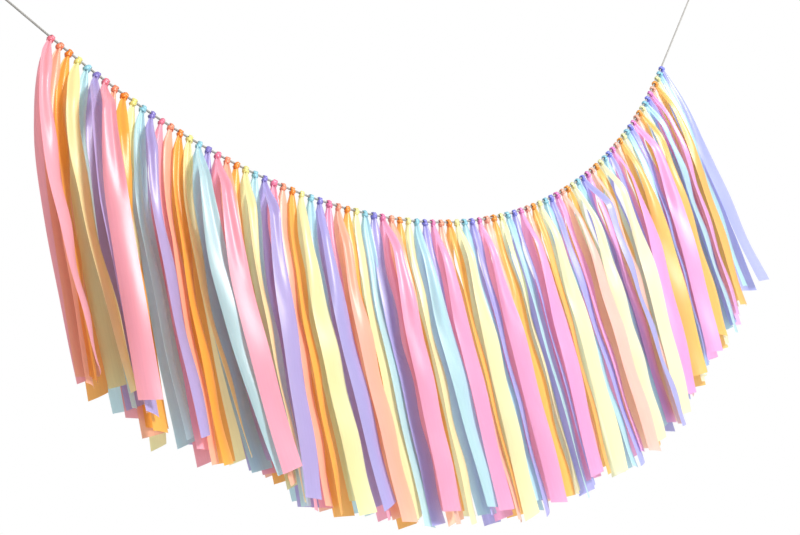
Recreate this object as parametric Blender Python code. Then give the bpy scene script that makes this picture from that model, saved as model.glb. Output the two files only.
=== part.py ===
"""Ribbon banner for a highchair: satin ribbons knotted side by side over one sagging cord.

Metres, +Z up. The banner hangs in the XZ plane and its front faces -Y. The origin is the middle of
the left hanging eye. Ninety ribbons, in fifteen repeats of six colours, are each tied once over the
cord, so that each has a front tail and a back tail.
"""
import math
import random

import bmesh
import bpy
from mathutils import Vector

# The cord: a round string that hangs in a catenary under the ribbons and runs straight past them
CORD_DIAMETER = 0.0025
SAG_CURVE = 0.460
FIRST_KNOT_AT = -0.5476
LEFT_BARE_CORD = 0.081
RIGHT_BARE_CORD = 0.180
CORD_POINTS = 78
CLEARANCE = 0.0003

# The eyes at the cord's two ends
EYE_LENGTH = 0.022
EYE_WIDTH = 0.011
END_KNOT_RADIUS = 0.0032
EYE_STEPS = 18

# The ribbons, each knotted once so that it has a front tail and a back tail
COLOURS = ("pink", "coral", "orange", "yellow", "aqua", "violet")
REPEATS = 15
KNOT_PITCH = 0.0114
RIBBON_WIDTH = 0.022
RIBBON_THICKNESS = 0.001
TAIL_DROP = 0.350
TAIL_UNEVENNESS = 0.011
TIP_SLANT = (-0.25, 0.35)

# The knots: six-sided bulges on a thin sleeve round the cord
KNOT_SIDES = 6
KNOT_RADIUS = 0.0040
KNOT_HALF_LENGTH = 0.0024
KNOT_SIZES = (0.97, 1.10)
SLEEVE_RADIUS = 0.0026
BORE_RADIUS = 0.0018

# How the tails fall: out square to the cord at first, then almost plumb, with a slight lean to the
# left for each metre of drop. A ribbon's two tails also part sideways, each by its own amount at
# the left and right ends.
SWING = 0.034
SWING_FADE = 0.060
FRONT_PARTING = (0.0, 0.004)
BACK_PARTING = (0.003, 0.012)
LEAN = -0.028

# How they open: from the knot to a gathered neck, and then slowly to their whole width and their
# own turn. They reach their own layer over the settling drop, begun a little up the knot.
NECK_DROP = 0.026
NECK_SHARE = 0.25
NECK_TURN = 15.0
FLARE_DROP = 0.150
SETTLE_DROP = 0.055
FLARE_HEAD_START = 0.002
SETTLE_HEAD_START = 0.004
ROOT_EXTRA_THICKNESS = 0.0007
TWIST = 12.0
STATION_DROPS = (0.012, 0.022, 0.036, 0.070, 0.125, 0.220)

# How the layers are laid: the room left between two tails, with more for each near its knot, how
# closely they are compared, the turn below which a tail counts as facing out, and how far the
# front tails may reach behind the cord
LAYER_GAP = 0.0014
ROOM_NEAR_KNOT = 0.0008
SIDE_GAP = 0.0014
LAYER_STEP = 0.005
NEAR_KNOTS = 6
FACING_TURN = 20.0
FRONT_REACH_BEHIND = 0.009

# The back tails turn in a wave along the banner and drift about half as much as the front ones
BACK_TURN = -28.0
BACK_TURN_WAVE = 16.0
BACK_TURN_RATE = 1.9
BACK_DRIFT_SHARE = 0.5
BACK_DRIFT = (-0.002, 0.003)

# Which way each front tail faces, in degrees, a row for each repeat of the colours. Below 0 its
# right edge is towards the front, so that it faces left; above 0 its left edge is.
FRONT_TURN = (
    # pink, coral, orange, yellow, aqua, violet
    (22, 62, 60, 46, 64, 52),
    (-8, 64, 53, 61, 53, 49),
    (42, 57, 55, 42, -3, 57),
    (2, 46, 54, 54, 52, 17),
    (51, 39, 33, 10, 46, 14),
    (46, 19, 48, 36, 36, 30),
    (-1, 45, 37, 43, -1, 33),
    (5, 40, 42, 10, 27, 42),
    (-12, 38, 22, 35, 40, 40),
    (-3, 13, 38, -3, 26, 23),
    (31, 11, 39, -5, 4, 31),
    (22, 34, 34, -12, 32, 34),
    (7, 32, -14, 32, 24, 35),
    (-22, 30, 9, 30, 18, 25),
    (28, 23, 12, 23, 23, -4),
)

# How far each front tail's tip stands to the right of the plumb line, in millimetres
FRONT_DRIFT = (
    # pink, coral, orange, yellow, aqua, violet
    (14, 0, -6, 20, 12, 10),
    (-2, -3, -7, -15, 7, 9),
    (1, 1, 3, 20, 30, 20),
    (16, 10, 4, 0, -4, -16),
    (-14, -11, -9, 3, -1, 7),
    (-1, 3, -3, -2, -2, -2),
    (-8, -8, -16, -4, 9, -1),
    (-5, 7, -1, -7, 0, -2),
    (-2, -2, 0, -1, 1, 1),
    (-11, -9, -5, -4, 14, 14),
    (8, 6, 16, -2, 15, 13),
    (3, -1, -5, -15, -7, -7),
    (-22, -16, -16, -12, -10, -12),
    (-18, -12, -8, -2, 5, 5),
    (1, 1, 1, 5, 12, 44),
)

# The front tails that turn further on their way down, in degrees, by their ribbon's number from 0
MORE_TWIST = {0: 54.0, 3: 20.0, 15: 18.0, 20: 16.0, 26: 24.0, 38: 20.0, 51: 22.0, 72: -18.0, 80: -14.0}

# Satin colours, as red, green, blue
SATIN = {
    "pink": (0.86, 0.28, 0.45),
    "coral": (0.93, 0.42, 0.27),
    "orange": (0.95, 0.42, 0.06),
    "yellow": (0.88, 0.87, 0.42),
    "aqua": (0.36, 0.68, 0.75),
    "violet": (0.33, 0.28, 0.64),
}
CORD_GREY = (0.50, 0.49, 0.48)


def clear_scene():
    for thing in list(bpy.data.objects):
        bpy.data.objects.remove(thing, do_unlink=True)


def cloth_material(name, colour, roughness):
    material = bpy.data.materials.new(name)
    material.use_nodes = True
    shader = material.node_tree.nodes["Principled BSDF"]
    shader.inputs["Base Color"].default_value = (*colour, 1.0)
    shader.inputs["Roughness"].default_value = roughness
    shader.inputs["Metallic"].default_value = 0.0
    return material


def smooth(value):
    """0 below 0, 1 above 1, and an easy rise between them."""
    value = min(max(value, 0.0), 1.0)
    return value * value * (3.0 - 2.0 * value)


# The cord's line, measured along the cord from its lowest point

KNOTS = REPEATS * len(COLOURS)
LAST_KNOT_AT = FIRST_KNOT_AT + KNOT_PITCH * (KNOTS - 1)
LEFT_END_AT = FIRST_KNOT_AT - LEFT_BARE_CORD
RIGHT_END_AT = LAST_KNOT_AT + RIGHT_BARE_CORD


def cord_slope(along):
    """The cord's angle above the horizontal, which stays the same past the outer knots."""
    loaded = min(max(along, FIRST_KNOT_AT), LAST_KNOT_AT)
    return math.atan2(loaded, SAG_CURVE)


def catenary_point(along):
    loaded = min(max(along, FIRST_KNOT_AT), LAST_KNOT_AT)
    rise = math.hypot(SAG_CURVE, loaded) - SAG_CURVE
    point = Vector((SAG_CURVE * math.asinh(loaded / SAG_CURVE), 0.0, rise))
    slope = cord_slope(along)
    return point + (along - loaded) * Vector((math.cos(slope), 0.0, math.sin(slope)))


EYE_REACH = END_KNOT_RADIUS + CLEARANCE + EYE_LENGTH / 2
ORIGIN = catenary_point(LEFT_END_AT - EYE_REACH)


def cord_point(along):
    return catenary_point(along) - ORIGIN


def cord_frame(along):
    """Along the cord, square to it on its lower side, and towards the front."""
    slope = cord_slope(along)
    ahead = Vector((math.cos(slope), 0.0, math.sin(slope)))
    under = Vector((math.sin(slope), 0.0, -math.cos(slope)))
    return ahead, under, Vector((0.0, -1.0, 0.0))


class Tail:
    """One hanging end of a ribbon: front tails have side 1 and back tails side -1."""

    def __init__(self, number, side, turn, drift, chance):
        self.number = number
        self.side = side
        self.along = FIRST_KNOT_AT + KNOT_PITCH * number
        self.turn = math.radians(turn)
        self.drift = drift
        more_twist = MORE_TWIST.get(number, 0.0) if side > 0 else 0.0
        self.twist = math.radians(chance.uniform(-TWIST, TWIST) + more_twist)
        self.length = TAIL_DROP + chance.uniform(-TAIL_UNEVENNESS, TAIL_UNEVENNESS)
        self.slant = chance.uniform(*TIP_SLANT)
        self.depth = 0.0
        at_left, at_right = FRONT_PARTING if side > 0 else BACK_PARTING
        self.parting = at_left + (at_right - at_left) * number / (KNOTS - 1)
        ahead, under, front = cord_frame(self.along)
        lean = math.pi / KNOT_SIDES
        square_to_root = math.cos(lean) * under + math.sin(lean) * side * front
        self.root = cord_point(self.along) + KNOT_RADIUS * math.cos(lean) * square_to_root

    def settled(self, drop):
        """How far the tail has come from the knot to its own place in the layers."""
        return smooth((drop + SETTLE_HEAD_START) / SETTLE_DROP)

    def centre(self, drop):
        reach = SWING * math.sin(cord_slope(self.along)) + self.parting
        swing = reach * (1.0 - math.exp(-drop / SWING_FADE))
        sideways = swing + LEAN * drop + self.drift * (drop / TAIL_DROP) ** 2
        outward = self.depth * self.settled(drop)
        return self.root + Vector((sideways, -self.side * outward, -drop))

    def thickness(self, drop):
        return RIBBON_THICKNESS + ROOT_EXTRA_THICKNESS * (1.0 - smooth(drop / NECK_DROP))

    def half_width(self, drop):
        neck = smooth((drop + FLARE_HEAD_START) / NECK_DROP)
        flare = smooth(drop / FLARE_DROP)
        open_share = NECK_SHARE * neck + (1.0 - NECK_SHARE) * flare
        width = 2 * KNOT_HALF_LENGTH + (RIBBON_WIDTH - 2 * KNOT_HALF_LENGTH) * open_share
        neck_turn = math.radians(NECK_TURN) * self.side
        turn = (neck_turn + (self.turn - neck_turn) * flare) * neck + self.twist * drop / TAIL_DROP
        tilt = cord_slope(self.along) * (1.0 - smooth(drop / (2 * NECK_DROP)))
        level = Vector((math.cos(turn), math.sin(turn), 0.0)) * math.cos(tilt)
        return (level + Vector((0.0, 0.0, math.sin(tilt)))) * width / 2

    def section(self, drop):
        """The four corners at a drop, in the order of the root face's corners."""
        middle = self.centre(drop)
        across = self.half_width(drop)
        above = self.centre(drop - FLARE_HEAD_START)
        fall = (self.centre(drop + FLARE_HEAD_START) - above).normalized()
        outward = fall.cross(across).normalized()
        if outward.y * self.side > 0:
            outward = -outward
        thick = self.thickness(drop)
        cut = Vector((0.0, 0.0, 0.0))
        if drop >= self.length:
            cut = Vector((0.0, 0.0, -self.slant * RIBBON_WIDTH / 2))
        inner = middle - outward * thick / 2
        outer = middle + outward * thick / 2
        return [inner - across - cut, outer - across - cut, outer + across + cut, inner + across + cut]


def level_line(tail, height, side):
    """A tail at a height: x and distance out to a side of its two edges, and its room, or None."""
    drop = tail.root.z - height
    if drop < 0.0 or drop > tail.length + LAYER_STEP:
        return None
    middle = tail.centre(drop)
    across = tail.half_width(drop)
    room = tail.thickness(drop) / 2 * math.hypot(across.x, across.y) / across.x
    room += ROOM_NEAR_KNOT * (1.0 - smooth(drop / NECK_DROP))
    left, right = middle - across, middle + across
    return left.x, -side * left.y, right.x, -side * right.y, room


def outward_at(line, x):
    x0, out0, x1, out1, room = line
    return out0 + (out1 - out0) * (x - x0) / (x1 - x0)


def find_layer(tail, laid):
    """Move a tail outward to the first place where it clears every tail that hangs near it."""
    levels = []
    least = 0.0
    for step in range(1, math.ceil(tail.length / LAYER_STEP) + 1):
        drop = step * LAYER_STEP
        height = tail.root.z - drop
        own = level_line(tail, height, tail.side)
        freedom = tail.settled(drop)
        levels.append((height, own, freedom))
        least = max(least, -(FRONT_REACH_BEHIND + min(own[1], own[3])) / freedom)
    taken = []
    for other in laid:
        inmost, outmost = math.inf, -math.inf
        for height, own, freedom in levels:
            line = level_line(other, height, tail.side)
            if line is None:
                continue
            low = max(own[0], line[0]) - SIDE_GAP / 2
            high = min(own[2], line[2]) + SIDE_GAP / 2
            if low < high:
                room = own[4] + line[4] + LAYER_GAP
                ways = [outward_at(line, x) - outward_at(own, x) for x in (low, high)]
                inmost = min(inmost, (min(ways) - room) / freedom)
                outmost = max(outmost, (max(ways) + room) / freedom)
        taken.append((inmost, outmost))
    places = sorted([least] + [outmost for inmost, outmost in taken if outmost > least])
    for place in places:
        if not any(inmost < place < outmost for inmost, outmost in taken):
            tail.depth = place
            return


def laying_order(tails, side):
    """From right to left, first the tails that are turned well away and then those that face out."""
    facing = math.radians(FACING_TURN)
    return sorted(range(KNOTS), key=lambda number: (tails[number, side].turn < facing, -number))


def hang_tails():
    """Every tail, front and back, with its place in the layers."""
    chance = random.Random(11)
    tails = {}
    for number in range(KNOTS):
        row, column = divmod(number, len(COLOURS))
        turn = FRONT_TURN[row][column]
        drift = FRONT_DRIFT[row][column] / 1000
        tails[number, 1] = Tail(number, 1, turn, drift, chance)
        back_turn = BACK_TURN + BACK_TURN_WAVE * math.sin(BACK_TURN_RATE * number)
        back_drift = BACK_DRIFT_SHARE * drift + chance.uniform(*BACK_DRIFT)
        tails[number, -1] = Tail(number, -1, back_turn, back_drift, chance)
    laid = []
    for side in (1, -1):
        for number in laying_order(tails, side):
            tail = tails[number, side]
            find_layer(tail, [other for other in laid if abs(other.number - number) <= NEAR_KNOTS])
            laid.append(tail)
    return tails


# The solids

def ring(mesh, along, radius):
    """Corners round the cord; the two lowest faces of a ring pair point to the front and back."""
    centre = cord_point(along)
    ahead, under, front = cord_frame(along)
    corners = []
    for corner in range(KNOT_SIDES):
        angle = corner * 2 * math.pi / KNOT_SIDES
        square_to_cord = math.cos(angle) * under + math.sin(angle) * front
        corners.append(mesh.verts.new(centre + radius * square_to_cord))
    return corners


def skin(mesh, one, other, colour, leave_out=()):
    """Quads between two loops of corners."""
    count = len(one)
    for corner in range(count):
        if corner in leave_out:
            continue
        after = (corner + 1) % count
        face = mesh.faces.new((one[corner], one[after], other[after], other[corner]))
        face.material_index = colour


def grow_tail(mesh, root_face, tail, colour):
    """A four-sided strip from the open root face down to the cut end.

    Where the strip twists, both its wide sides are split from the upper left to the lower right, so
    that they stay its thickness apart.
    """
    last = root_face
    for drop in STATION_DROPS + (tail.length,):
        corners = [mesh.verts.new(point) for point in tail.section(drop)]
        skin(mesh, last, corners, colour, leave_out=(1, 3))
        for left, right in ((0, 3), (1, 2)):
            upper = mesh.faces.new((last[left], last[right], corners[right]))
            lower = mesh.faces.new((last[left], corners[right], corners[left]))
            upper.material_index = colour
            lower.material_index = colour
        last = corners
    face = mesh.faces.new(last)
    face.material_index = colour


def build_repeat(row, tails, materials):
    """Six knots in a row on the cord, with their twelve tails."""
    mesh = bmesh.new()
    size_of = random.Random(100 + row)
    first = FIRST_KNOT_AT + KNOT_PITCH * len(COLOURS) * row
    outer = ring(mesh, first - KNOT_PITCH / 2 + CLEARANCE / 2, SLEEVE_RADIUS)
    inner = ring(mesh, first - KNOT_PITCH / 2 + CLEARANCE / 2, BORE_RADIUS)
    skin(mesh, inner, outer, 0)
    for colour in range(len(COLOURS)):
        along = first + KNOT_PITCH * colour
        radius = KNOT_RADIUS * size_of.uniform(*KNOT_SIZES)
        left = ring(mesh, along - KNOT_HALF_LENGTH, radius)
        right = ring(mesh, along + KNOT_HALF_LENGTH, radius)
        past = along + KNOT_PITCH / 2
        if colour == len(COLOURS) - 1:
            past -= CLEARANCE / 2
        valley = ring(mesh, past, SLEEVE_RADIUS)
        bore = ring(mesh, past, BORE_RADIUS)
        front_root, back_root = 0, KNOT_SIDES - 1
        skin(mesh, outer, left, colour)
        skin(mesh, left, right, colour, leave_out=(front_root, back_root))
        skin(mesh, right, valley, colour)
        skin(mesh, bore, inner, colour)
        number = row * len(COLOURS) + colour
        grow_tail(mesh, [left[0], left[1], right[1], right[0]], tails[number, 1], colour)
        grow_tail(mesh, [left[0], left[-1], right[-1], right[0]], tails[number, -1], colour)
        outer, inner = valley, bore
    skin(mesh, outer, inner, len(COLOURS) - 1)
    bmesh.ops.recalc_face_normals(mesh, faces=mesh.faces[:])
    name = f"ribbons_{row + 1:02d}"
    data = bpy.data.meshes.new(name)
    mesh.to_mesh(data)
    mesh.free()
    for material in materials:
        data.materials.append(material)
    item = bpy.data.objects.new(name, data)
    bpy.context.collection.objects.link(item)
    return item


def tube(name, points, closed, material):
    """A round cord through the points."""
    data = bpy.data.curves.new(name, "CURVE")
    data.dimensions = "3D"
    data.bevel_depth = CORD_DIAMETER / 2
    data.bevel_resolution = 2
    data.use_fill_caps = not closed
    spline = data.splines.new("POLY")
    spline.points.add(len(points) - 1)
    for spot, point in zip(spline.points, points):
        spot.co = (*point, 1.0)
    spline.use_cyclic_u = closed
    data.materials.append(material)
    item = bpy.data.objects.new(name, data)
    bpy.context.collection.objects.link(item)
    return item


def build_cord(material):
    step = (RIGHT_END_AT - LEFT_END_AT) / (CORD_POINTS - 1)
    points = [cord_point(LEFT_END_AT + step * index) for index in range(CORD_POINTS)]
    return tube("cord", points, False, material)


def build_eye(name, end_at, away, material):
    """The eye at one end of the cord: a drawn-out loop closed by a round knot."""
    ahead, under, front = cord_frame(end_at)
    knot_at = cord_point(end_at) + away * ahead * (END_KNOT_RADIUS + CLEARANCE)
    points = []
    for step in range(EYE_STEPS):
        angle = 2 * math.pi * step / EYE_STEPS
        reach = EYE_LENGTH / 2 * (1.0 - math.cos(angle))
        spread = EYE_WIDTH / 2 * math.sin(angle)
        points.append(knot_at + away * ahead * reach + under * spread)
    loop = tube(name, points, True, material)
    bpy.ops.mesh.primitive_uv_sphere_add(
        segments=12, ring_count=8, radius=END_KNOT_RADIUS, location=knot_at)
    knot = bpy.context.active_object
    knot.name = name + "_knot"
    knot.hide_render = True
    knot.display_type = "WIRE"
    bpy.context.view_layer.update()
    shown = loop.evaluated_get(bpy.context.evaluated_depsgraph_get())
    mesh = bpy.data.meshes.new_from_object(shown)
    bpy.data.objects.remove(loop, do_unlink=True)
    eye = bpy.data.objects.new(name, mesh)
    bpy.context.collection.objects.link(eye)
    join = eye.modifiers.new("knot", "BOOLEAN")
    join.operation = "UNION"
    join.solver = "EXACT"
    join.object = knot
    return eye


def main():
    clear_scene()
    satins = [cloth_material("satin_" + colour, SATIN[colour], 0.35) for colour in COLOURS]
    string = cloth_material("string", CORD_GREY, 0.8)
    tails = hang_tails()
    for row in range(REPEATS):
        build_repeat(row, tails, satins)
    build_cord(string)
    build_eye("eye_left", LEFT_END_AT, -1, string)
    build_eye("eye_right", RIGHT_END_AT, 1, string)


main()
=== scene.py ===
import math
import random

import bpy
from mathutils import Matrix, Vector


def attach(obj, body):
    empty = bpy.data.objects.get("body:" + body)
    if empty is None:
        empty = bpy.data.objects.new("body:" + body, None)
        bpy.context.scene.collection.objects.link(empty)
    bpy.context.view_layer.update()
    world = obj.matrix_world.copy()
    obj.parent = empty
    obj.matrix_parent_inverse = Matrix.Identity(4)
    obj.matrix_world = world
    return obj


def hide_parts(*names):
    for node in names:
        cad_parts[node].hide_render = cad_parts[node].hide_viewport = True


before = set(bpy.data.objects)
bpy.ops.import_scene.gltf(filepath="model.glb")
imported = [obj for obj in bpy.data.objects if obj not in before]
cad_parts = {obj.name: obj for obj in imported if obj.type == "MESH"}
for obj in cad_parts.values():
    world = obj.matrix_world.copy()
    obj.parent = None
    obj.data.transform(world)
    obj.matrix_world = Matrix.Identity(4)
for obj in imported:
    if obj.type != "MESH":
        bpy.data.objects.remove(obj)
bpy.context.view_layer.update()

# The camera stands low in front of the banner's left end, looks up and along it to the right, and
# is tilted, so that the banner seems to climb to the left.
CAMERA_PLACE = Vector((-0.1361, -0.8824, -0.5465))
CAMERA_YAW = math.radians(31.08)
CAMERA_PITCH = math.radians(9.61)
CAMERA_ROLL = math.radians(-15.11)
CAMERA_LENS = 40.14
CAMERA_SENSOR = 36.0

camera_data = bpy.data.cameras.new("camera")
camera_data.sensor_fit = "HORIZONTAL"
camera_data.sensor_width = CAMERA_SENSOR
camera_data.lens = CAMERA_LENS
camera_data.clip_start = 0.01
camera = bpy.data.objects.new("camera", camera_data)
bpy.context.scene.collection.objects.link(camera)
looking = Vector((
    math.sin(CAMERA_YAW) * math.cos(CAMERA_PITCH),
    math.cos(CAMERA_YAW) * math.cos(CAMERA_PITCH),
    math.sin(CAMERA_PITCH),
))
level_right = Vector((math.cos(CAMERA_YAW), -math.sin(CAMERA_YAW), 0.0))
level_up = level_right.cross(looking)
tilted_right = math.cos(CAMERA_ROLL) * level_right + math.sin(CAMERA_ROLL) * level_up
tilted_up = math.cos(CAMERA_ROLL) * level_up - math.sin(CAMERA_ROLL) * level_right
facing = camera.matrix_world.to_3x3()
for row in range(3):
    facing[row][0] = tilted_right[row]
    facing[row][1] = tilted_up[row]
    facing[row][2] = -looking[row]
camera.matrix_world = facing.to_4x4()
camera.location = CAMERA_PLACE
bpy.context.scene.camera = camera

# The string is a 2.5 mm cotton twine of three strands. It carries every ribbon, hangs in the curve
# their weight gives it, and runs straight from the outer ribbons up to an eye at each end.
STRING_THICKNESS = 0.0025
STRING_STEP = 0.0008
STRING_SIDES = 12
STRING_SAG = 0.460
RIBBONS_IN_ALL = 90
RIBBON_PITCH = 0.0114
FIRST_RIBBON_AT = -0.5476
LAST_RIBBON_AT = FIRST_RIBBON_AT + RIBBON_PITCH * (RIBBONS_IN_ALL - 1)
BARE_AT_LEFT = 0.081
BARE_AT_RIGHT = 0.180
STRING_START = FIRST_RIBBON_AT - BARE_AT_LEFT
STRING_END = LAST_RIBBON_AT + BARE_AT_RIGHT
STRANDS = 3
STRAND_TURN = 0.0075
STRAND_HOLLOW = 0.84
STRAND_RISE = 0.18
EYE_LENGTH = 0.022
EYE_WIDTH = 0.011
EYE_STEPS = 72
EYE_KNOT_RADIUS = 0.0032
EYE_KNOT_GAP = 0.0003
EYE_KNOT_FROM_END = EYE_KNOT_RADIUS + EYE_KNOT_GAP
EYE_MIDDLE = EYE_KNOT_FROM_END + EYE_LENGTH / 2
WRAP_STEPS = 100
WRAP_TURNS = 2.6
WRAP_SPREAD = 0.0040
WRAP_RADIUS = 0.0020
TWINE_SHADE = (0.19, 0.185, 0.175, 1.0)
TWINE_FIBRE = (0.44, 0.43, 0.41, 1.0)
FIBRE_SCALE = 900.0


def string_slope(along):
    """The string's angle above the horizontal, this far along it from its lowest point."""
    loaded = min(max(along, FIRST_RIBBON_AT), LAST_RIBBON_AT)
    return math.atan2(loaded, STRING_SAG)


def curve_point(along):
    """The string's curve, its lowest point at zero: hanging under the ribbons, then straight."""
    loaded = min(max(along, FIRST_RIBBON_AT), LAST_RIBBON_AT)
    slope = string_slope(along)
    rise = math.hypot(STRING_SAG, loaded) - STRING_SAG
    hanging = Vector((STRING_SAG * math.asinh(loaded / STRING_SAG), 0.0, rise))
    return hanging + (along - loaded) * Vector((math.cos(slope), 0.0, math.sin(slope)))


LEFT_EYE = curve_point(STRING_START - EYE_MIDDLE)


def string_point(along):
    """A point of the string in the frame, which has its zero in the left eye."""
    return curve_point(along) - LEFT_EYE


def string_directions(along):
    """Along the string, square to it on its lower side, and towards the front."""
    slope = string_slope(along)
    ahead = Vector((math.cos(slope), 0.0, math.sin(slope)))
    under = Vector((math.sin(slope), 0.0, -math.cos(slope)))
    return ahead, under, Vector((0.0, -1.0, 0.0))


def add_object(name, corners, faces, materials, smooth_faces=True):
    """One mesh object from corners and from faces given as (corner numbers, material number)."""
    mesh = bpy.data.meshes.new(name)
    mesh.from_pydata([tuple(corner) for corner in corners], [], [face for face, paint in faces])
    for material in materials:
        mesh.materials.append(material)
    for polygon, (face, paint) in zip(mesh.polygons, faces):
        polygon.material_index = paint
        polygon.use_smooth = smooth_faces
    piece = bpy.data.objects.new(name, mesh)
    bpy.context.scene.collection.objects.link(piece)
    return piece


def lay_string(corners, faces, line, closed=False):
    """Twisted string along a line of points: round rings whose outline has three strands."""
    count = len(line)
    first = len(corners)
    travelled = 0.0
    for index, point in enumerate(line):
        before = line[index - 1] if index > 0 or closed else line[0]
        after = line[(index + 1) % count] if index < count - 1 or closed else line[-1]
        ahead = (after - before).normalized()
        side = ahead.cross(Vector((0.0, 1.0, 0.0)))
        if side.length < 0.1:
            side = ahead.cross(Vector((1.0, 0.0, 0.0)))
        side.normalize()
        over = side.cross(ahead)
        if index > 0:
            travelled += (point - line[index - 1]).length
        twist = 2 * math.pi * travelled / STRAND_TURN
        for corner in range(STRING_SIDES):
            angle = 2 * math.pi * corner / STRING_SIDES
            strand = abs(math.cos(STRANDS / 2 * (angle - twist)))
            radius = STRING_THICKNESS / 2 * (STRAND_HOLLOW + STRAND_RISE * strand)
            corners.append(point + radius * (math.cos(angle) * side + math.sin(angle) * over))
    for index in range(count if closed else count - 1):
        one = first + index * STRING_SIDES
        other = first + (index + 1) % count * STRING_SIDES
        for corner in range(STRING_SIDES):
            after = (corner + 1) % STRING_SIDES
            faces.append(((one + corner, one + after, other + after, other + corner), 0))
    if not closed:
        faces.append((tuple(first + corner for corner in reversed(range(STRING_SIDES))), 0))
        last = first + (count - 1) * STRING_SIDES
        faces.append((tuple(last + corner for corner in range(STRING_SIDES)), 0))


def cotton():
    """Grey cotton: dull and a little fuzzy, of darker and paler fibres."""
    material = bpy.data.materials.new("cotton_twine")
    material.use_nodes = True
    nodes, links = material.node_tree.nodes, material.node_tree.links
    shader = nodes["Principled BSDF"]
    shader.inputs["Roughness"].default_value = 0.9
    shader.inputs["Sheen Weight"].default_value = 0.25
    shader.inputs["Sheen Roughness"].default_value = 0.6
    shader.inputs["Specular IOR Level"].default_value = 0.2
    place = nodes.new("ShaderNodeTexCoord")
    fibres = nodes.new("ShaderNodeTexNoise")
    fibres.inputs["Scale"].default_value = FIBRE_SCALE
    fibres.inputs["Detail"].default_value = 4.0
    tone = nodes.new("ShaderNodeValToRGB")
    tone.color_ramp.elements[0].position = 0.3
    tone.color_ramp.elements[0].color = TWINE_SHADE
    tone.color_ramp.elements[1].position = 0.75
    tone.color_ramp.elements[1].color = TWINE_FIBRE
    fuzz = nodes.new("ShaderNodeBump")
    fuzz.inputs["Strength"].default_value = 0.5
    fuzz.inputs["Distance"].default_value = 0.0002
    links.new(place.outputs["Object"], fibres.inputs["Vector"])
    links.new(fibres.outputs["Fac"], tone.inputs["Fac"])
    links.new(tone.outputs["Color"], shader.inputs["Base Color"])
    links.new(fibres.outputs["Fac"], fuzz.inputs["Height"])
    links.new(fuzz.outputs["Normal"], shader.inputs["Normal"])
    return material


twine = cotton()
string_length = STRING_END - STRING_START
string_rings = round(string_length / STRING_STEP)
string_line = [string_point(STRING_START + string_length * index / string_rings)
               for index in range(string_rings + 1)]
string_corners, string_faces = [], []
lay_string(string_corners, string_faces, string_line)
string = add_object("string", string_corners, string_faces, [twine])

for name, end_at, away in (("left_eye", STRING_START, -1), ("right_eye", STRING_END, 1)):
    ahead, under, front = string_directions(end_at)
    knot_at = string_point(end_at) + away * ahead * EYE_KNOT_FROM_END
    loop = []
    for index in range(EYE_STEPS):
        angle = 2 * math.pi * index / EYE_STEPS
        reach = EYE_LENGTH / 2 * (1.0 - math.cos(angle))
        loop.append(knot_at + away * ahead * reach + under * EYE_WIDTH / 2 * math.sin(angle))
    eye_corners, eye_faces = [], []
    lay_string(eye_corners, eye_faces, loop, closed=True)
    wraps = []
    for index in range(WRAP_STEPS):
        share = index / (WRAP_STEPS - 1)
        angle = 2 * math.pi * WRAP_TURNS * share
        outward = math.cos(angle) * under + math.sin(angle) * front
        wraps.append(knot_at + ahead * WRAP_SPREAD * (share - 0.5) + outward * WRAP_RADIUS)
    lay_string(eye_corners, eye_faces, wraps)
    eye = add_object(name, eye_corners, eye_faces, [twine])
    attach(eye, "root")
    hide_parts("eye_left" if away < 0 else "eye_right")

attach(string, "root")
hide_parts("cord")

# The ribbons are 22 mm polyester satin, six colours in turn. Each is cut 745 mm long and tied once
# over the string at its middle. A front tail and a back tail hang from the knot, each cut off a
# little on the slant.
COLOURS = ("pink", "coral", "orange", "yellow", "aqua", "violet")
RIBBON_WIDTH = 0.022
TAIL_DROP = 0.350
TAIL_UNEVENNESS = 0.011
TIP_SLANT = (-0.25, 0.35)
KNOT_SIDES = 6
KNOT_RADIUS = 0.0040
KNOT_HALF_LENGTH = 0.0024
KNOT_SIZES = (0.97, 1.10)
SWING = 0.034
SWING_FADE = 0.060
FRONT_PARTING = (0.0, 0.004)
BACK_PARTING = (0.003, 0.012)
LEAN = -0.028
NECK_DROP = 0.026
NECK_SHARE = 0.25
NECK_TURN = 15.0
FLARE_DROP = 0.150
SETTLE_DROP = 0.055
FLARE_HEAD_START = 0.002
SETTLE_HEAD_START = 0.004
SOLID_THICKNESS = 0.001
SOLID_EXTRA_AT_ROOT = 0.0007
TWIST = 12.0
LAYER_GAP = 0.0014
ROOM_NEAR_KNOT = 0.0008
SIDE_GAP = 0.0014
LAYER_STEP = 0.005
NEAR_KNOTS = 6
FACING_TURN = 20.0
FRONT_REACH_BEHIND = 0.009
BACK_TURN = -28.0
BACK_TURN_WAVE = 16.0
BACK_TURN_RATE = 1.9
BACK_DRIFT_SHARE = 0.5
BACK_DRIFT = (-0.002, 0.003)
HANGING_SEED = 11

# Which way each front tail faces, in degrees, a row for each repeat of the colours. Below 0 its
# right edge is towards the front, so that it faces left; above 0 its left edge is.
FRONT_TURN = (
    # pink, coral, orange, yellow, aqua, violet
    (22, 62, 60, 46, 64, 52),
    (-8, 64, 53, 61, 53, 49),
    (42, 57, 55, 42, -3, 57),
    (2, 46, 54, 54, 52, 17),
    (51, 39, 33, 10, 46, 14),
    (46, 19, 48, 36, 36, 30),
    (-1, 45, 37, 43, -1, 33),
    (5, 40, 42, 10, 27, 42),
    (-12, 38, 22, 35, 40, 40),
    (-3, 13, 38, -3, 26, 23),
    (31, 11, 39, -5, 4, 31),
    (22, 34, 34, -12, 32, 34),
    (7, 32, -14, 32, 24, 35),
    (-22, 30, 9, 30, 18, 25),
    (28, 23, 12, 23, 23, -4),
)

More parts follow.
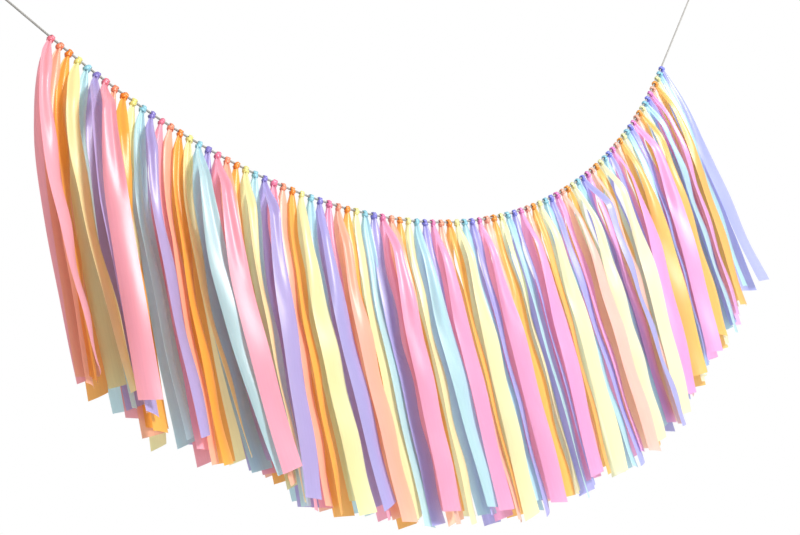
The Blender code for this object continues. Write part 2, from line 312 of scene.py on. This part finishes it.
# How far each front tail's tip stands to the right of the plumb line, in millimetres
FRONT_DRIFT = (
    # pink, coral, orange, yellow, aqua, violet
    (14, 0, -6, 20, 12, 10),
    (-2, -3, -7, -15, 7, 9),
    (1, 1, 3, 20, 30, 20),
    (16, 10, 4, 0, -4, -16),
    (-14, -11, -9, 3, -1, 7),
    (-1, 3, -3, -2, -2, -2),
    (-8, -8, -16, -4, 9, -1),
    (-5, 7, -1, -7, 0, -2),
    (-2, -2, 0, -1, 1, 1),
    (-11, -9, -5, -4, 14, 14),
    (8, 6, 16, -2, 15, 13),
    (3, -1, -5, -15, -7, -7),
    (-22, -16, -16, -12, -10, -12),
    (-18, -12, -8, -2, 5, 5),
    (1, 1, 1, 5, 12, 44),
)

# The front tails that turn further on their way down, in degrees, by their ribbon's number from 0
MORE_TWIST = {0: 54.0, 3: 20.0, 15: 18.0, 20: 16.0, 26: 24.0, 38: 20.0, 51: 22.0, 72: -18.0, 80: -14.0}


def smooth(value):
    """0 below 0, 1 above 1, and an easy rise between them."""
    value = min(max(value, 0.0), 1.0)
    return value * value * (3.0 - 2.0 * value)


class Tail:
    """One hanging end of a ribbon: front tails have side 1 and back tails side -1."""

    def __init__(self, number, side, turn, drift, chance):
        self.number = number
        self.side = side
        self.along = FIRST_RIBBON_AT + RIBBON_PITCH * number
        self.turn = math.radians(turn)
        self.drift = drift
        more_twist = MORE_TWIST.get(number, 0.0) if side > 0 else 0.0
        self.twist = math.radians(chance.uniform(-TWIST, TWIST) + more_twist)
        self.length = TAIL_DROP + chance.uniform(-TAIL_UNEVENNESS, TAIL_UNEVENNESS)
        self.slant = chance.uniform(*TIP_SLANT)
        self.depth = 0.0
        at_left, at_right = FRONT_PARTING if side > 0 else BACK_PARTING
        self.parting = at_left + (at_right - at_left) * number / (RIBBONS_IN_ALL - 1)
        ahead, under, front = string_directions(self.along)
        lean = math.pi / KNOT_SIDES
        square_to_root = math.cos(lean) * under + math.sin(lean) * side * front
        self.root = string_point(self.along) + KNOT_RADIUS * math.cos(lean) * square_to_root

    def settled(self, drop):
        """How far the tail has come from the knot to its own place in the layers."""
        return smooth((drop + SETTLE_HEAD_START) / SETTLE_DROP)

    def centre(self, drop):
        """The middle of the tail's width, this far below the knot."""
        reach = SWING * math.sin(string_slope(self.along)) + self.parting
        swing = reach * (1.0 - math.exp(-drop / SWING_FADE))
        sideways = swing + LEAN * drop + self.drift * (drop / TAIL_DROP) ** 2
        return self.root + Vector((sideways, -self.side * self.depth * self.settled(drop), -drop))

    def thickness(self, drop):
        """How thick the tail is in the solids, whose layers this cloth follows."""
        return SOLID_THICKNESS + SOLID_EXTRA_AT_ROOT * (1.0 - smooth(drop / NECK_DROP))

    def half_width(self, drop):
        """From the tail's middle to its right edge: gathered at the knot and opening out below."""
        neck = smooth((drop + FLARE_HEAD_START) / NECK_DROP)
        flare = smooth(drop / FLARE_DROP)
        open_share = NECK_SHARE * neck + (1.0 - NECK_SHARE) * flare
        width = 2 * KNOT_HALF_LENGTH + (RIBBON_WIDTH - 2 * KNOT_HALF_LENGTH) * open_share
        neck_turn = math.radians(NECK_TURN) * self.side
        turn = (neck_turn + (self.turn - neck_turn) * flare) * neck + self.twist * drop / TAIL_DROP
        tilt = string_slope(self.along) * (1.0 - smooth(drop / (2 * NECK_DROP)))
        level = Vector((math.cos(turn), math.sin(turn), 0.0)) * math.cos(tilt)
        return (level + Vector((0.0, 0.0, math.sin(tilt)))) * width / 2


def level_line(tail, height, side):
    """A tail at a height: x and distance out to a side of its two edges, and its room, or None."""
    drop = tail.root.z - height
    if drop < 0.0 or drop > tail.length + LAYER_STEP:
        return None
    middle = tail.centre(drop)
    across = tail.half_width(drop)
    room = tail.thickness(drop) / 2 * math.hypot(across.x, across.y) / across.x
    room += ROOM_NEAR_KNOT * (1.0 - smooth(drop / NECK_DROP))
    left, right = middle - across, middle + across
    return left.x, -side * left.y, right.x, -side * right.y, room


def outward_at(line, x):
    """How far out to its side a level line of a tail is, at this x."""
    left_x, left_out, right_x, right_out, room = line
    return left_out + (right_out - left_out) * (x - left_x) / (right_x - left_x)


def find_layer(tail, laid):
    """Move a tail outward to the first place where it clears every tail that hangs near it."""
    levels = []
    least = 0.0
    for step in range(1, math.ceil(tail.length / LAYER_STEP) + 1):
        drop = step * LAYER_STEP
        height = tail.root.z - drop
        own = level_line(tail, height, tail.side)
        freedom = tail.settled(drop)
        levels.append((height, own, freedom))
        least = max(least, -(FRONT_REACH_BEHIND + min(own[1], own[3])) / freedom)
    taken = []
    for other in laid:
        inmost, outmost = math.inf, -math.inf
        for height, own, freedom in levels:
            line = level_line(other, height, tail.side)
            if line is None:
                continue
            low = max(own[0], line[0]) - SIDE_GAP / 2
            high = min(own[2], line[2]) + SIDE_GAP / 2
            if low < high:
                room = own[4] + line[4] + LAYER_GAP
                ways = [outward_at(line, x) - outward_at(own, x) for x in (low, high)]
                inmost = min(inmost, (min(ways) - room) / freedom)
                outmost = max(outmost, (max(ways) + room) / freedom)
        taken.append((inmost, outmost))
    places = sorted([least] + [outmost for inmost, outmost in taken if outmost > least])
    for place in places:
        if not any(inmost < place < outmost for inmost, outmost in taken):
            tail.depth = place
            return


def laying_order(tails, side):
    """From right to left, first the tails that are turned well away and then those that face out."""
    facing = math.radians(FACING_TURN)
    return sorted(range(RIBBONS_IN_ALL), key=lambda number: (tails[number, side].turn < facing, -number))


chance = random.Random(HANGING_SEED)
tails = {}
for number in range(RIBBONS_IN_ALL):
    row, column = divmod(number, len(COLOURS))
    drift = FRONT_DRIFT[row][column] / 1000
    tails[number, 1] = Tail(number, 1, FRONT_TURN[row][column], drift, chance)
    back_turn = BACK_TURN + BACK_TURN_WAVE * math.sin(BACK_TURN_RATE * number)
    back_drift = BACK_DRIFT_SHARE * drift + chance.uniform(*BACK_DRIFT)
    tails[number, -1] = Tail(number, -1, back_turn, back_drift, chance)
laid = []
for side in (1, -1):
    for number in laying_order(tails, side):
        near = [other for other in laid if abs(other.number - number) <= NEAR_KNOTS]
        find_layer(tails[number, side], near)
        laid.append(tails[number, side])

# The satin's dyes, as red, green and blue at the banner's left end and at its right end, where they
# look cooler. The change between the two is painted light: a warmer light at the left end and a
# cooler light at the right.
DYES_IN_WARM_AND_COOL_LIGHT = {
    "pink": ((0.93, 0.38, 0.46), (0.89, 0.43, 0.78)),
    "coral": ((0.96, 0.46, 0.30), (0.93, 0.65, 0.54)),
    "orange": ((0.97, 0.44, 0.05), (0.93, 0.56, 0.15)),
    "yellow": ((0.93, 0.88, 0.42), (0.88, 0.89, 0.62)),
    "aqua": ((0.50, 0.78, 0.86), (0.46, 0.75, 0.86)),
    "violet": ((0.44, 0.38, 0.74), (0.42, 0.45, 0.90)),
}
# Where along the banner, in x, the painted change from warm to cool light starts and ends
LIGHT_TINT_CHANGES_FROM = 0.08
LIGHT_TINT_CHANGES_TO = 0.75
WEFT_PITCH = 0.00035
WARP_PITCH = 0.00022
TEXTURE_TURN = 20.0
STREAKS_PER_METRE = (700.0, 22.0, 1.0)
STREAK_SHADE = (0.92, 1.06)
STREAK_ROUGHNESS = (-0.06, 0.08)
PALER_THROUGH = 0.15
TAIL_ROUGHNESS = 0.31
TAIL_LIGHT_THROUGH = 0.44
KNOT_ROUGHNESS = 0.34
KNOT_LIGHT_THROUGH = 0.25
# The knots' painted shade: their dye darkened and deepened for the folds and layers of the knot
KNOT_PAINTED_SHADE = 0.92
KNOT_PAINTED_DEEPENING = 1.7


def wave_scale(pitch):
    """The scale that gives a wave texture's stripes this pitch: at scale 1 it turns 20 radians a metre."""
    return 2 * math.pi / (TEXTURE_TURN * pitch)


def satin(name, dye_in_warm_light, dye_in_cool_light, light_through, roughness):
    """Woven satin: lustre in fine streaks along the ribbon, a close weave, light through it, and painted
    light: its dye turns from warm at the left end to cool at the right.
    """
    material = bpy.data.materials.new(name)
    material.use_nodes = True
    nodes, links = material.node_tree.nodes, material.node_tree.links
    face = nodes["Principled BSDF"]
    face.inputs["Sheen Weight"].default_value = 0.25
    face.inputs["Sheen Roughness"].default_value = 0.4
    face.inputs["Specular IOR Level"].default_value = 0.8
    face.inputs["Anisotropic"].default_value = 0.55
    place = nodes.new("ShaderNodeTexCoord")
    split = nodes.new("ShaderNodeSeparateXYZ")
    end_to_end = nodes.new("ShaderNodeMapRange")
    end_to_end.inputs["From Min"].default_value = LIGHT_TINT_CHANGES_FROM
    end_to_end.inputs["From Max"].default_value = LIGHT_TINT_CHANGES_TO
    # Painted light: the dye mixes from its left colour to its right one along the banner, for a warmer
    # light at the left end and a cooler one at the right.
    light_tinted_dye = nodes.new("ShaderNodeMix")
    light_tinted_dye.data_type = "RGBA"
    light_tinted_dye.inputs["A"].default_value = (*dye_in_warm_light, 1.0)
    light_tinted_dye.inputs["B"].default_value = (*dye_in_cool_light, 1.0)
    links.new(place.outputs["Object"], split.inputs["Vector"])
    links.new(split.outputs["X"], end_to_end.inputs["Value"])
    links.new(end_to_end.outputs["Result"], light_tinted_dye.inputs["Factor"])
    flat = nodes.new("ShaderNodeUVMap")
    flat.uv_map = "flat_cloth"
    stretch = nodes.new("ShaderNodeMapping")
    stretch.inputs["Scale"].default_value = STREAKS_PER_METRE
    streaks = nodes.new("ShaderNodeTexNoise")
    streaks.inputs["Scale"].default_value = 1.0
    streaks.inputs["Detail"].default_value = 3.0
    links.new(flat.outputs["UV"], stretch.inputs["Vector"])
    links.new(stretch.outputs["Vector"], streaks.inputs["Vector"])
    depth_of_dye = nodes.new("ShaderNodeMapRange")
    depth_of_dye.inputs["To Min"].default_value = STREAK_SHADE[0]
    depth_of_dye.inputs["To Max"].default_value = STREAK_SHADE[1]
    links.new(streaks.outputs["Fac"], depth_of_dye.inputs["Value"])
    streaked = nodes.new("ShaderNodeVectorMath")
    streaked.operation = "SCALE"
    links.new(light_tinted_dye.outputs["Result"], streaked.inputs[0])
    links.new(depth_of_dye.outputs["Result"], streaked.inputs["Scale"])
    lustre = nodes.new("ShaderNodeMapRange")
    lustre.inputs["To Min"].default_value = roughness + STREAK_ROUGHNESS[0]
    lustre.inputs["To Max"].default_value = roughness + STREAK_ROUGHNESS[1]
    links.new(streaks.outputs["Fac"], lustre.inputs["Value"])
    weave = None
    for direction, pitch in (("X", WARP_PITCH), ("Y", WEFT_PITCH)):
        threads = nodes.new("ShaderNodeTexWave")
        threads.bands_direction = direction
        threads.inputs["Scale"].default_value = wave_scale(pitch)
        links.new(flat.outputs["UV"], threads.inputs["Vector"])
        if weave is None:
            weave = threads.outputs["Fac"]
            continue
        crossed = nodes.new("ShaderNodeMath")
        crossed.operation = "ADD"
        links.new(weave, crossed.inputs[0])
        links.new(threads.outputs["Fac"], crossed.inputs[1])
        weave = crossed.outputs["Value"]
    relief = nodes.new("ShaderNodeBump")
    relief.inputs["Strength"].default_value = 0.12
    relief.inputs["Distance"].default_value = 0.0001
    links.new(weave, relief.inputs["Height"])
    along_ribbon = nodes.new("ShaderNodeTangent")
    along_ribbon.direction_type = "UV_MAP"
    along_ribbon.uv_map = "flat_cloth"
    glow = nodes.new("ShaderNodeBsdfTranslucent")
    both = nodes.new("ShaderNodeMixShader")
    both.inputs["Fac"].default_value = light_through
    paler = nodes.new("ShaderNodeMix")
    paler.data_type = "RGBA"
    paler.inputs["Factor"].default_value = PALER_THROUGH
    paler.inputs["B"].default_value = (1.0, 1.0, 1.0, 1.0)
    links.new(streaked.outputs["Vector"], face.inputs["Base Color"])
    links.new(streaked.outputs["Vector"], paler.inputs["A"])
    links.new(paler.outputs["Result"], glow.inputs["Color"])
    links.new(lustre.outputs["Result"], face.inputs["Roughness"])
    links.new(relief.outputs["Normal"], face.inputs["Normal"])
    links.new(relief.outputs["Normal"], glow.inputs["Normal"])
    links.new(along_ribbon.outputs["Tangent"], face.inputs["Tangent"])
    links.new(face.outputs["BSDF"], both.inputs[1])
    links.new(glow.outputs["BSDF"], both.inputs[2])
    links.new(both.outputs["Shader"], nodes["Material Output"].inputs["Surface"])
    return material


def with_painted_knot_shade(light_tinted_dye):
    """The dye darkened and deepened as painted shade, where the ribbon lies in several layers, as in a
    knot.
    """
    return tuple(KNOT_PAINTED_SHADE * part ** KNOT_PAINTED_DEEPENING for part in light_tinted_dye)


# Each knot's satin is a darker copy of its tails' satin: painted shade for the knot's folds and layers.
tail_satin, shaded_knot_satin = {}, {}
for colour in COLOURS:
    dye_in_warm_light, dye_in_cool_light = DYES_IN_WARM_AND_COOL_LIGHT[colour]
    tail_satin[colour] = satin("satin_" + colour, dye_in_warm_light, dye_in_cool_light,
                               TAIL_LIGHT_THROUGH, TAIL_ROUGHNESS)
    shaded_knot_satin[colour] = satin("knotted_satin_painted_shade_" + colour, with_painted_knot_shade(dye_in_warm_light), with_painted_knot_shade(dye_in_cool_light),
                               KNOT_LIGHT_THROUGH, KNOT_ROUGHNESS)

# How the cloth of a tail lies: pleats near the knot, slow waves further down, and a bowed width
THREADS_ACROSS = 16
CLOSE_STEP = 0.0035
CLOSE_TO = 0.105
WIDE_STEP = 0.0095
PLEATS = (0.6, 1.2)
PLEAT_TURN = 9.0
PLEAT_FULLNESS = 0.72
PLEAT_DEPTH_AT_KNOT = 0.0011
PLEAT_DEPTH_BELOW = 0.0018
PLEAT_DEEPENS_TO = 0.03
SMALL_PLEAT = 0.18
SMALL_PLEAT_START = 0.7
WAVE_DEPTH = 0.0011
WAVE_LENGTH = (0.085, 0.155)
WAVE_SHIFT = 0.55
WAVE_SCATTER = 0.4
WAVE_RISE = 0.05
WAVE_TILT = 0.5
BOW_DEPTH = 0.0022
BOW_SHARE = (0.6, 1.25)
BOW_FROM = 0.03
BOW_RISE = 0.08
BOW_STEADY = 0.8
BOW_SWELL = 0.3
BOW_SWELL_RATE = 18.0
PINCH = 0.10
PINCH_DROP = 0.012
NECK_FULLNESS = 0.22
NECK_FULL_TO = 0.02
NECK_FULLNESS_FADE = 0.06
FALL_STEP = 0.002


def pleat_depth(drop, half_width, pleats):
    """How deep the pleats are that take up the cloth's width where it is gathered."""
    gathering = RIBBON_WIDTH / 2 / half_width
    steepness = PLEAT_FULLNESS * math.sqrt(2.0 * max(gathering * gathering - 1.0, 0.0))
    deepening = (PLEAT_DEPTH_BELOW - PLEAT_DEPTH_AT_KNOT) * smooth(drop / PLEAT_DEEPENS_TO)
    most = PLEAT_DEPTH_AT_KNOT + deepening
    return min(steepness * half_width / (math.pi * pleats), most)


def hang_tail(corners, faces, flats, tail, chance):
    """One tail as a single thickness of cloth: pleated at the knot, opening out, cut at the tip."""
    drops = [CLOSE_STEP * step for step in range(round(CLOSE_TO / CLOSE_STEP))]
    steps = math.ceil((tail.length - CLOSE_TO) / WIDE_STEP)
    drops += [CLOSE_TO + (tail.length - CLOSE_TO) * step / steps for step in range(steps + 1)]
    pleats = chance.uniform(*PLEATS)
    pleat_start = chance.uniform(0.0, 2 * math.pi)
    pleat_turn = chance.uniform(-PLEAT_TURN, PLEAT_TURN)
    wave_length = chance.uniform(*WAVE_LENGTH)
    wave_start = WAVE_SHIFT * tail.number + chance.uniform(-WAVE_SCATTER, WAVE_SCATTER)
    bow = BOW_DEPTH * chance.uniform(*BOW_SHARE)
    first = len(corners)
    for drop in drops:
        middle = tail.centre(drop)
        across = tail.half_width(drop)
        depth = pleat_depth(drop, across.length, pleats)
        out_of_pinch = smooth(drop / PINCH_DROP)
        fullness_left = 1.0 - smooth((drop - NECK_FULL_TO) / NECK_FULLNESS_FADE)
        fullness = NECK_FULLNESS * out_of_pinch * fullness_left
        across = across * (1.0 + fullness - PINCH * (1.0 - out_of_pinch))
        fall = (tail.centre(drop + FALL_STEP) - tail.centre(drop - FALL_STEP)).normalized()
        outward = fall.cross(across).normalized()
        if outward.y * tail.side > 0:
            outward = -outward
        wave_height = WAVE_DEPTH * smooth(drop / WAVE_RISE)
        wave = wave_height * math.sin(2 * math.pi * drop / wave_length + wave_start)
        swell = BOW_STEADY + BOW_SWELL * math.sin(BOW_SWELL_RATE * drop + pleat_start)
        bowed = bow * smooth((drop - BOW_FROM) / BOW_RISE) * swell
        for thread in range(THREADS_ACROSS + 1):
            share = 2.0 * thread / THREADS_ACROSS - 1.0
            fold = math.pi * pleats * share + pleat_start + pleat_turn * drop
            small_fold = SMALL_PLEAT * math.sin(2.0 * fold + SMALL_PLEAT_START)
            pleat = depth * (math.sin(fold) + small_fold)
            off = pleat + wave * (1.0 + WAVE_TILT * share) + bowed * (0.5 - share * share)
            slant = 0.0
            if drop == drops[-1]:
                slant = -tail.slant * RIBBON_WIDTH / 2 * share
            corners.append(middle + across * share + outward * off + Vector((0.0, 0.0, slant)))
            flats.append((share * RIBBON_WIDTH / 2, drop))
    for row in range(len(drops) - 1):
        one = first + row * (THREADS_ACROSS + 1)
        other = one + THREADS_ACROSS + 1
        for thread in range(THREADS_ACROSS):
            faces.append(((one + thread, one + thread + 1, other + thread + 1, other + thread), 0))


# The knot's two turns of gathered satin, the loop over the string and the collar round the tails
WIND_STEPS = 22
WIND_CORNERS = 12
LOOP_REACH = 0.0023
LOOP_HALF_WIDTH = 0.0025
LOOP_HALF_THICKNESS = 0.0010
LOOP_LEAN = 0.25
COLLAR_REACH = 0.0025
COLLAR_HALF_WIDTH = 0.0023
COLLAR_HALF_THICKNESS = 0.0011
COLLAR_BELOW = 0.0030
COLLAR_BEFORE = 0.0004
COLLAR_TILT = (0.35, 0.75)
SQUEEZE = 0.16
SLIP = 0.25
CREASE_DEPTH = 0.30
CREASES_ACROSS = 4.5
CREASE_WANDER = 1.5
GATHERED = 2.6
CLOTH_SEED = 23
KNOT_SEED = 100


def wind(corners, faces, flats, centre, directions, sizes, chance):
    """A closed turn of gathered satin round a centre, its width along the last of the directions."""
    one_way, other_way, wide_way = directions
    reach, half_width, half_thickness = sizes
    slip_start = chance.uniform(0.0, 2 * math.pi)
    crease_start = chance.uniform(0.0, 2 * math.pi)
    first = len(corners)
    for step in range(WIND_STEPS):
        angle = 2 * math.pi * step / WIND_STEPS
        outward = math.cos(angle) * one_way + math.sin(angle) * other_way
        squeeze = 1.0 + SQUEEZE * math.sin(2.0 * angle + slip_start)
        slip = SLIP * half_width * math.sin(angle + slip_start)
        wander = CREASE_WANDER * math.sin(angle) + crease_start
        for corner in range(WIND_CORNERS):
            around = 2 * math.pi * corner / WIND_CORNERS
            crease = CREASE_DEPTH * math.sin(CREASES_ACROSS * math.cos(around) + wander)
            thick = half_thickness * math.sin(around) * (1.0 + crease)
            wide = half_width * squeeze * math.cos(around) + slip
            corners.append(centre + (reach + thick) * outward + wide * wide_way)
            flats.append((GATHERED * wide, reach * angle))
    for step in range(WIND_STEPS):
        one = first + step * WIND_CORNERS
        other = first + (step + 1) % WIND_STEPS * WIND_CORNERS
        for corner in range(WIND_CORNERS):
            after = (corner + 1) % WIND_CORNERS
            faces.append(((one + corner, one + after, other + after, other + corner), 1))


def tie_knot(corners, faces, flats, along, size, chance):
    """The knot: one turn over the string, drawn tight by a slanting turn round both tails."""
    ahead, under, front = string_directions(along)
    centre = string_point(along)
    lean = chance.uniform(-LOOP_LEAN, LOOP_LEAN)
    loop_way = math.cos(lean) * ahead + math.sin(lean) * front
    loop_front = math.cos(lean) * front - math.sin(lean) * ahead
    sizes = (LOOP_REACH * size, LOOP_HALF_WIDTH * size, LOOP_HALF_THICKNESS * size)
    wind(corners, faces, flats, centre, (under, loop_front, loop_way), sizes, chance)
    tilt = chance.uniform(*COLLAR_TILT)
    collar_side = math.cos(tilt) * ahead - math.sin(tilt) * under
    collar_way = math.cos(tilt) * under + math.sin(tilt) * ahead
    sizes = (COLLAR_REACH * size, COLLAR_HALF_WIDTH * size, COLLAR_HALF_THICKNESS * size)
    collar_at = centre + COLLAR_BELOW * under + COLLAR_BEFORE * front
    wind(corners, faces, flats, collar_at, (collar_side, front, collar_way), sizes, chance)


chance = random.Random(CLOTH_SEED)
knot_sizes = {}
for row in range(RIBBONS_IN_ALL // len(COLOURS)):
    size_of = random.Random(KNOT_SEED + row)
    for column in range(len(COLOURS)):
        knot_sizes[row * len(COLOURS) + column] = size_of.uniform(*KNOT_SIZES)
for number in range(RIBBONS_IN_ALL):
    row, column = divmod(number, len(COLOURS))
    colour = COLOURS[column]
    corners, faces, flats = [], [], []
    hang_tail(corners, faces, flats, tails[number, 1], chance)
    hang_tail(corners, faces, flats, tails[number, -1], chance)
    tie_knot(corners, faces, flats, tails[number, 1].along, knot_sizes[number], chance)
    ribbon = add_object(f"ribbon_{number + 1:02d}_{colour}", corners, faces,
                        [tail_satin[colour], shaded_knot_satin[colour]])
    flat_cloth = ribbon.data.uv_layers.new(name="flat_cloth")
    for loop in ribbon.data.loops:
        flat_cloth.data[loop.index].uv = flats[loop.vertex_index]
    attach(ribbon, "root")
    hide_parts(f"ribbons_{row + 1:02d}")

# The studio: a pale floor below the banner, a wall of soft light behind it that glows through the
# satin, and a softbox at the front right that makes the ribbons that face it nearly white.
FLOOR_MIDDLE = Vector((0.5, 0.0, -1.10))
FLOOR_RADIUS = 1.4
FLOOR_SIDES = 64
LIGHT_IN_FRONT = 0.42
LIGHT_BEHIND = 1.3
SOFTBOX_PLACE = Vector((1.15, -2.2, 0.45))
SOFTBOX_AIM = Vector((0.6, 0.0, -0.35))

floor_corners = [FLOOR_MIDDLE]
floor_faces = []
for side in range(FLOOR_SIDES):
    angle = 2 * math.pi * side / FLOOR_SIDES
    floor_corners.append(FLOOR_MIDDLE + FLOOR_RADIUS * Vector((math.cos(angle), math.sin(angle), 0.0)))
    floor_faces.append(((0, 1 + side, 1 + (side + 1) % FLOOR_SIDES), 0))
floor_paint = bpy.data.materials.new("pale_floor")
floor_paint.use_nodes = True
floor_shader = floor_paint.node_tree.nodes["Principled BSDF"]
floor_shader.inputs["Base Color"].default_value = (0.88, 0.88, 0.88, 1.0)
floor_shader.inputs["Roughness"].default_value = 0.8
floor = add_object("floor", floor_corners, floor_faces, [floor_paint], smooth_faces=False)

world = bpy.data.worlds.new("studio")
bpy.context.scene.world = world
world.use_nodes = True
nodes, links = world.node_tree.nodes, world.node_tree.links
nodes.clear()
direction = nodes.new("ShaderNodeTexCoord")
split = nodes.new("ShaderNodeSeparateXYZ")
from_behind = nodes.new("ShaderNodeMapRange")
from_behind.interpolation_type = "SMOOTHSTEP"
from_behind.inputs["From Min"].default_value = -0.2
from_behind.inputs["From Max"].default_value = 0.5
from_behind.inputs["To Min"].default_value = LIGHT_IN_FRONT
from_behind.inputs["To Max"].default_value = LIGHT_BEHIND
soft_light = nodes.new("ShaderNodeBackground")
links.new(direction.outputs["Generated"], split.inputs["Vector"])
links.new(split.outputs["Y"], from_behind.inputs["Value"])
links.new(from_behind.outputs["Result"], soft_light.inputs["Strength"])
paper = nodes.new("ShaderNodeBackground")
paper.inputs["Color"].default_value = (1.0, 1.0, 1.0, 1.0)
paper.inputs["Strength"].default_value = 1.0
seen = nodes.new("ShaderNodeLightPath")
choose = nodes.new("ShaderNodeMixShader")
links.new(seen.outputs["Is Camera Ray"], choose.inputs["Fac"])
links.new(soft_light.outputs["Background"], choose.inputs[1])
links.new(paper.outputs["Background"], choose.inputs[2])
sky = nodes.new("ShaderNodeOutputWorld")
links.new(choose.outputs["Shader"], sky.inputs["Surface"])

lamp_data = bpy.data.lights.new("softbox", "AREA")
lamp_data.shape = "DISK"
lamp_data.size = 0.6
lamp_data.energy = 90.0
lamp_data.color = (1.0, 0.99, 0.97)
lamp = bpy.data.objects.new("softbox", lamp_data)
bpy.context.scene.collection.objects.link(lamp)
lamp.location = SOFTBOX_PLACE
lamp.rotation_euler = (SOFTBOX_AIM - SOFTBOX_PLACE).to_track_quat("-Z", "Y").to_euler()
lamp.visible_camera = False

bpy.context.scene.view_settings.view_transform = "Standard"
bpy.context.scene.view_settings.look = "None"
